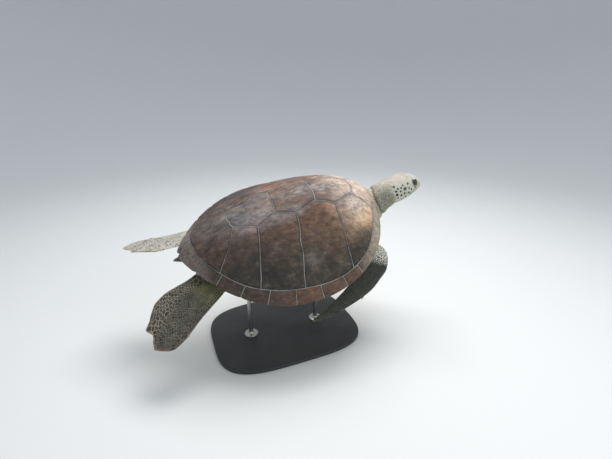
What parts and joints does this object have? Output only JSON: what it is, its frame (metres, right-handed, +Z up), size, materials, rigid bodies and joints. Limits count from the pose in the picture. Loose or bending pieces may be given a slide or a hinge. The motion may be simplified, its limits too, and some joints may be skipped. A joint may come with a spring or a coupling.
{
  "type": "green sea turtle, life-size still model on a display stand",
  "caption": "Life-size still model of a subadult green sea turtle banking as it swims, head raised and fore flippers swept down, held by slim rods on a flat base.",
  "frame": {"origin": "centre of the underside of the display stand's base, on the floor", "axes": "+X towards the turtle's head, +Y towards its left side, +Z up; the turtle is banked 26.8 degrees with its right side down and pitched 5.1 degrees nose up"},
  "size_m": [1.0698, 0.5786, 0.6106],
  "materials": {
    "carapace_keratin": "satin keratin scutes, brown with darker streaks and pale seams",
    "plastron_keratin": "satin cream-yellow keratin plates",
    "turtle_skin": "scaly skin, dark scales edged in cream",
    "beak_horn": "satin horn",
    "eye": "wet, glossy, near black",
    "claw_horn": "satin horn",
    "stand_base_paint": "satin charcoal powder coat on steel plate",
    "stand_rod_steel": "brushed steel"
  },
  "bodies": {
    "root": {"carapace": "carapace_keratin", "plastron": "plastron_keratin", "trunk": "turtle_skin", "neck": "turtle_skin", "head": "turtle_skin", "lower_jaw": "turtle_skin", "beak_upper": "beak_horn", "beak_lower": "beak_horn", "eye_left": "eye", "eye_right": "eye", "tail": "turtle_skin", "front_flipper_left": "turtle_skin", "front_flipper_right": "turtle_skin", "hind_flipper_left": "turtle_skin", "hind_flipper_right": "turtle_skin", "claw_front_left": "claw_horn", "claw_front_right": "claw_horn", "claw_hind_left": "claw_horn", "claw_hind_right": "claw_horn", "stand_base": "stand_base_paint", "stand_rod_front": "stand_rod_steel", "stand_rod_rear": "stand_rod_steel", "stand_pad_front": "stand_rod_steel", "stand_pad_rear": "stand_rod_steel"}
  },
  "joints": []
}
